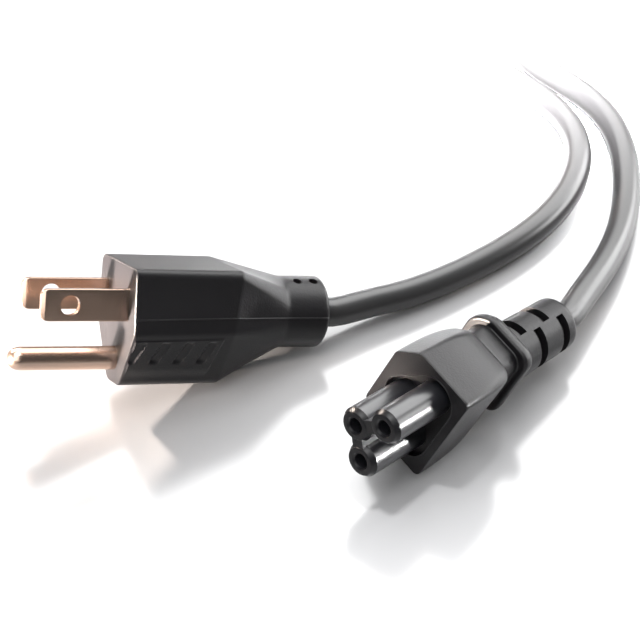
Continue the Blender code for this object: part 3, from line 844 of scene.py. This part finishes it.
def make_blade(name, side, mat):
    """Flat blade with rounded tip corners, a bevelled tip and a round hole."""
    y = side * BLADE_CENTRES / 2
    stations = [-PIN_ROOT, BLADE_LENGTH - BLADE_TIP_RADIUS - BLADE_TIP_LEAD]
    for turn in np.radians(TIP_TURNS_DEG):
        stations.append(BLADE_LENGTH - BLADE_TIP_RADIUS * (1 - math.sin(turn)))
    blade = mesh_piece(name, skin([blade_section(x, y) for x in stations]), PLUG_PLACE, mat)
    hole = circle((BLADE_HOLE_FROM_FACE, 0.0), BLADE_HOLE / 2, BLADE_HOLE_STEPS)
    cut(blade, [[(x, y + end, z) for x, z in hole] for end in (-CUT_MARGIN, CUT_MARGIN)])
    smooth_by_angle(blade, BLADE_SHARP_DEG)
    return blade


def make_ground_pin(mat):
    radius = GROUND_DIAMETER / 2
    dome_from = GROUND_LENGTH - GROUND_DOME
    profile = [(-PIN_ROOT, radius), (dome_from, radius)]
    for turn in np.radians(DOME_TURNS_DEG):
        along = dome_from + GROUND_DOME * math.sin(turn)
        profile.append((along, radius * math.cos(turn) ** GROUND_DOME_FULLNESS))
    rings = lathe(profile, (0.0, -GROUND_DROP), PIN_AROUND)
    return mesh_piece("pin_visual", skin(rings), PLUG_PLACE, mat)


# Connector
def hood_outline(share, inset):
    """Outline between the hood's front, share 0, and its rim, share 1, drawn in by an inset."""
    half, flat, slant, earth, earth_half = (a + (b - a) * share for a, b in zip(HOOD_FRONT, HOOD_RIM))
    slanted = inset * SLANT_SHARE
    corners = [(half - inset, flat + inset), (half - inset, slant - slanted)]
    corners.append((earth_half - slanted, earth - inset))
    rounding = ease(share, 0.0, HOOD_ROUND_BY)
    radii = tuple(a + (b - a) * rounding for a, b in zip(HOOD_FRONT_RADII, HOOD_RIM_RADII))
    return symmetric(corners, radii, HOOD_CORNER_POINTS - 1)


def hood_rings():
    """Rings of the hood, its waist and its rim, close enough together for smooth sides."""
    # Distance behind the face, share from hood to rim, and inset of each section
    stages = (
        (0.0, 0.0, 0.3), (0.3, 0.0, 0.0), (4.0, 0.03, 0.0), (8.0, 0.08, 0.1),
        (HOOD_STRAIGHT - 1.2, 0.18, 0.3), (HOOD_STRAIGHT + 1.4, 0.3, 0.6),
        (HOOD_STRAIGHT + 3.0, 0.44, 0.85), (HOOD_STRAIGHT + 3.7, 0.62, 1.15),
        (HOOD_STRAIGHT + 4.2, 0.82, 1.45), (HOOD_STRAIGHT + 5.0, 0.94, 1.6),
        (WAIST_AT + 0.6, 0.99, 1.6), (RIM_FRONT - 0.8, 1.0, 1.55), (RIM_FRONT - 0.3, 1.0, 1.5),
        (RIM_FRONT - 0.15, 1.0, 1.35), (RIM_FRONT - 0.12, 1.0, 0.9), (RIM_FRONT - 0.1, 1.0, 0.35),
        (RIM_FRONT + 0.15, 1.0, 0.06), (RIM_FRONT + 0.6, 1.0, 0.0), (RIM_FRONT + 1.8, 1.0, 0.1),
        (RIM_BACK - 0.8, 1.0, 0.7), (RIM_BACK, 1.0, 1.7))
    rings = []
    for away, share, inset in smooth_line(stages, HOOD_STEP):
        outline = hood_outline(min(1.0, share), max(0.0, inset))
        rings.append(at_x(-away, fine_outline(outline, HOOD_CORNER_POINTS, HOOD_SIDE_POINTS)))
    return rings


def relief_rings():
    """Round rings of the strain relief, from behind the rim to its rounded end."""
    centre = (0.0, RELIEF_RISE)
    turns = turns_like(hood_outline(1.0, FOLLOWED_INSET), centre, HOOD_CORNER_POINTS, HOOD_SIDE_POINTS)
    rings = [circle_at(-RIM_BACK - FILLET_FROM, centre, RELIEF_RADIUS_ROOT + FILLET_RISE, turns)]
    straight_end = RELIEF_LENGTH - END_ROUNDING
    for away in np.linspace(RIM_BACK + FILLET_TO, straight_end, RELIEF_RINGS):
        share = (away - RIM_BACK) / (RELIEF_LENGTH - RIM_BACK)
        radius = RELIEF_RADIUS_ROOT + (RELIEF_RADIUS_END - RELIEF_RADIUS_ROOT) * share
        rings.append(circle_at(-away, centre, radius, turns))
    for along, drop in quarter(END_ROUNDING, END_STEPS)[1:]:
        rings.append(circle_at(-straight_end - along, centre, RELIEF_RADIUS_END - drop, turns))
    return rings


def slot_cutter(row):
    """Rings of a part of a flat ring: rows on the earth side and rows on the flat side in turn."""
    start_deg, end_deg = EARTH_ROW_FROM_DEG, 180.0 - EARTH_ROW_FROM_DEG
    if row % 2:
        start_deg, end_deg = 180.0 - FLAT_ROW_FROM_DEG, 360.0 + FLAT_ROW_FROM_DEG
    away = SLOT_FIRST + row * SLOT_PITCH
    centre = (0.0, RELIEF_RISE)
    outline = arc(centre, RELIEF_CORE, start_deg, end_deg, SLOT_STEPS)
    outline += arc(centre, RELIEF_RADIUS_ROOT + CUT_MARGIN, end_deg, start_deg, SLOT_STEPS)
    return [at_x(-away, outline), at_x(-away - SLOT_WIDTH, outline)]


def lobe_centres():
    half = LOBE_SPACING / 2
    return ((0.0, EARTH_OFFSET), (half, 0.0), (-half, 0.0))


def recess_outline(extra):
    radii = (RECESS_EARTH_RADIUS, RECESS_SIDE_RADIUS, RECESS_SIDE_RADIUS)
    return hull_of_circles([(*c, r + extra) for c, r in zip(lobe_centres(), radii)])


def make_connector_moulding(mat):
    body = mesh_piece("connector_moulding", skin(hood_rings() + relief_rings()), CONNECTOR_PLACE, mat)
    for row in range(SLOT_ROWS):
        cut(body, slot_cutter(row))
    wall = recess_outline(0.0)
    cut(body, [at_x(-RECESS_DEPTH, wall), at_x(CUT_MARGIN, wall)])
    smooth_by_angle(body, CONNECTOR_SHARP_DEG)
    return body


def make_recess_edge(mat):
    """Rounded lip along the edge of the recess round the cloverleaf."""
    line = at_x(-LIP_SINK, recess_outline(LIP_GAP))
    return thin_bead("recess_edge", [line + line[:1]], LIP_RADIUS, CONNECTOR_PLACE, mat)


# Cloverleaf
def lobe_rings(centre):
    """One tube from its root round its end and down its blind hole."""
    radius = LOBE_DIAMETER / 2
    hole = PIN_HOLE / 2
    profile = [(-RECESS_DEPTH, radius), (LOBE_LENGTH - LOBE_END, radius)]
    profile += [(LOBE_LENGTH - back, radius - inside) for back, inside in LOBE_EDGE]
    profile += [(LOBE_LENGTH - back, hole + outside) for back, outside in HOLE_MOUTH]
    profile.append((LOBE_LENGTH - PIN_HOLE_DEPTH, hole))
    return lathe(profile, centre, LOBE_AROUND)


def web_rings(earth, side):
    """Flat web from the earth tube to one of the two others."""
    along = (side - earth) / np.linalg.norm(side - earth)
    across = np.array((-along[1], along[0])) * WEB_WIDTH / 2
    start = earth + along * LOBE_DIAMETER * WEB_START_SHARE
    stop = side - along * LOBE_DIAMETER * WEB_START_SHARE
    outline = [start + across, stop + across, stop - across, start - across]
    return [at_x(-RECESS_DEPTH, outline), at_x(LOBE_LENGTH - WEB_BACK, outline)]


def make_cloverleaf(mat, painted_shade_mat):
    """Three tubes with open ends, which get a darker, duller copy of the black as painted shade, and the
    two webs that join them.
    """
    earth, *others = (np.array(c) for c in lobe_centres())
    shapes = [skin(lobe_rings(centre)) for centre in lobe_centres()]
    shapes += [skin(web_rings(earth, side)) for side in others]
    leaf = mesh_piece("cloverleaf", joined(shapes), CONNECTOR_PLACE, mat, LEAF_SHARP_DEG)
    # The faces at the tubes' ends take the darker copy of the black: painted shade on the ends.
    leaf.data.materials.append(painted_shade_mat)
    for face in leaf.data.polygons:
        if face.center.x > (LOBE_LENGTH - LOBE_END) * MM:
            face.material_index = 1
    return leaf


# Materials
def new_material(name, colour, roughness, metallic=0.0):
    mat = bpy.data.materials.new(name)
    mat.use_nodes = True
    shader = mat.node_tree.nodes["Principled BSDF"]
    shader.inputs["Base Color"].default_value = (*colour, 1.0)
    shader.inputs["Roughness"].default_value = roughness
    shader.inputs["Metallic"].default_value = metallic
    return mat, shader


def grain(mat, shader, scale, strength):
    """Fine bump from object coordinates, so that it stays with the piece."""
    nodes = mat.node_tree.nodes
    links = mat.node_tree.links
    where = nodes.new("ShaderNodeTexCoord")
    noise = nodes.new("ShaderNodeTexNoise")
    noise.inputs["Scale"].default_value = scale
    noise.inputs["Detail"].default_value = 3.0
    links.new(where.outputs["Object"], noise.inputs["Vector"])
    bump = nodes.new("ShaderNodeBump")
    bump.inputs["Strength"].default_value = strength
    bump.inputs["Distance"].default_value = GRAIN_DEPTH
    links.new(noise.outputs["Fac"], bump.inputs["Height"])
    links.new(bump.outputs["Normal"], shader.inputs["Normal"])


def moulded_black():
    mat, shader = new_material("moulded_black", colour=(0.0065, 0.006, 0.007), roughness=0.38)
    shader.inputs["Specular IOR Level"].default_value = 0.33
    grain(mat, shader, scale=2600.0, strength=0.35)
    return mat


def lobe_black():
    mat, shader = new_material("lobe_black", colour=(0.010, 0.010, 0.012), roughness=0.28)
    shader.inputs["IOR"].default_value = 1.75
    grain(mat, shader, scale=1500.0, strength=0.08)
    return mat


def end_black_painted_shade():
    """Darker, duller copy of the lobe black for the lobes' ends: painted shade that keeps the ends dark."""
    mat, shader = new_material("end_black_painted_shade", colour=(0.006, 0.006, 0.007), roughness=0.32)
    shader.inputs["Specular IOR Level"].default_value = 0.25
    grain(mat, shader, scale=1500.0, strength=0.08)
    return mat


def cord_black():
    mat, shader = new_material("cord_black", colour=(0.019, 0.0185, 0.019), roughness=0.31)
    shader.inputs["Specular IOR Level"].default_value = 0.75
    grain(mat, shader, scale=900.0, strength=0.08)
    return mat


def plated_metal():
    mat, shader = new_material("plated_metal", colour=(0.58, 0.43, 0.345), roughness=0.27, metallic=1.0)
    grain(mat, shader, scale=900.0, strength=0.1)
    return mat


def floor_white():
    mat, shader = new_material("floor_white", colour=(0.34, 0.34, 0.345), roughness=0.17)
    shader.inputs["IOR"].default_value = 2.0
    return mat


# Floor and light
def make_floor():
    corners = [(x * FLOOR_HALF, y * FLOOR_HALF, 0) for x, y in ((-1, -1), (1, -1), (1, 1), (-1, 1))]
    mesh = bpy.data.meshes.new("floor")
    mesh.from_pydata(corners, [], [(0, 1, 2, 3)])
    mesh.materials.append(floor_white())
    floor = bpy.data.objects.new("floor", mesh)
    floor.location.z = -FLOOR_SINK
    bpy.context.scene.collection.objects.link(floor)


def new_light(name, kind, place, aim, strength, colour):
    data = bpy.data.lights.new(name, kind)
    data.energy = strength
    data.color = colour
    lamp = bpy.data.objects.new(name, data)
    lamp.location = place
    lamp.rotation_euler = (Vector(aim) - Vector(place)).to_track_quat("-Z", "Y").to_euler()
    bpy.context.scene.collection.objects.link(lamp)
    return data


def make_light():
    for name, place, aim, size, strength, colour in SOFT_LIGHTS:
        data = new_light(name, "AREA", place, aim, strength, colour)
        data.shape = "RECTANGLE"
        data.size, data.size_y = size
    for name, place, aim, strength, cone_deg, softness, radius, colour in NARROW_LIGHTS:
        data = new_light(name, "SPOT", place, aim, strength, colour)
        data.spot_size = math.radians(cone_deg)
        data.spot_blend = softness
        data.shadow_soft_size = radius


def make_sky():
    world = bpy.data.worlds.new("studio")
    world.use_nodes = True
    background = world.node_tree.nodes["Background"]
    background.inputs["Color"].default_value = (*SKY_COLOUR, 1.0)
    background.inputs["Strength"].default_value = SKY_STRENGTH
    bpy.context.scene.world = world
    bpy.context.scene.view_settings.view_transform = "Standard"


# The whole scene
make_camera()
cord = make_cord(cord_black())
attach(cord, "root")
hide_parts("cord_plug_side", "cord_connector_side", "cord_coil")

moulded = moulded_black()
metal = plated_metal()

# Each piece with the node that it replaces, if any, and its material slot
plug_pieces = (
    (make_plug_moulding(moulded), "plug_body", "black_pvc"),
    (make_plug_seam(moulded), None, "black_pvc"),
    (make_blade("neutral_blade_visual", 1, metal), "neutral_blade", "plated_brass"),
    (make_blade("line_blade_visual", -1, metal), "line_blade", "plated_brass"),
    (make_ground_pin(metal), "ground_pin", "plated_brass"),
)
connector_pieces = (
    (make_connector_moulding(moulded), "connector_body", "black_pvc"),
    (make_recess_edge(moulded), None, "black_pvc"),
    (make_cloverleaf(lobe_black(), end_black_painted_shade()), "connector_insert", "insert_black"),
)
coil_pieces = (
    (make_coil_tie(moulded), None, "black_pvc"),
)
for piece, node, slot in plug_pieces + connector_pieces + coil_pieces:
    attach(piece, "root")
    if node:
        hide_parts(node)

make_floor()
make_light()
make_sky()
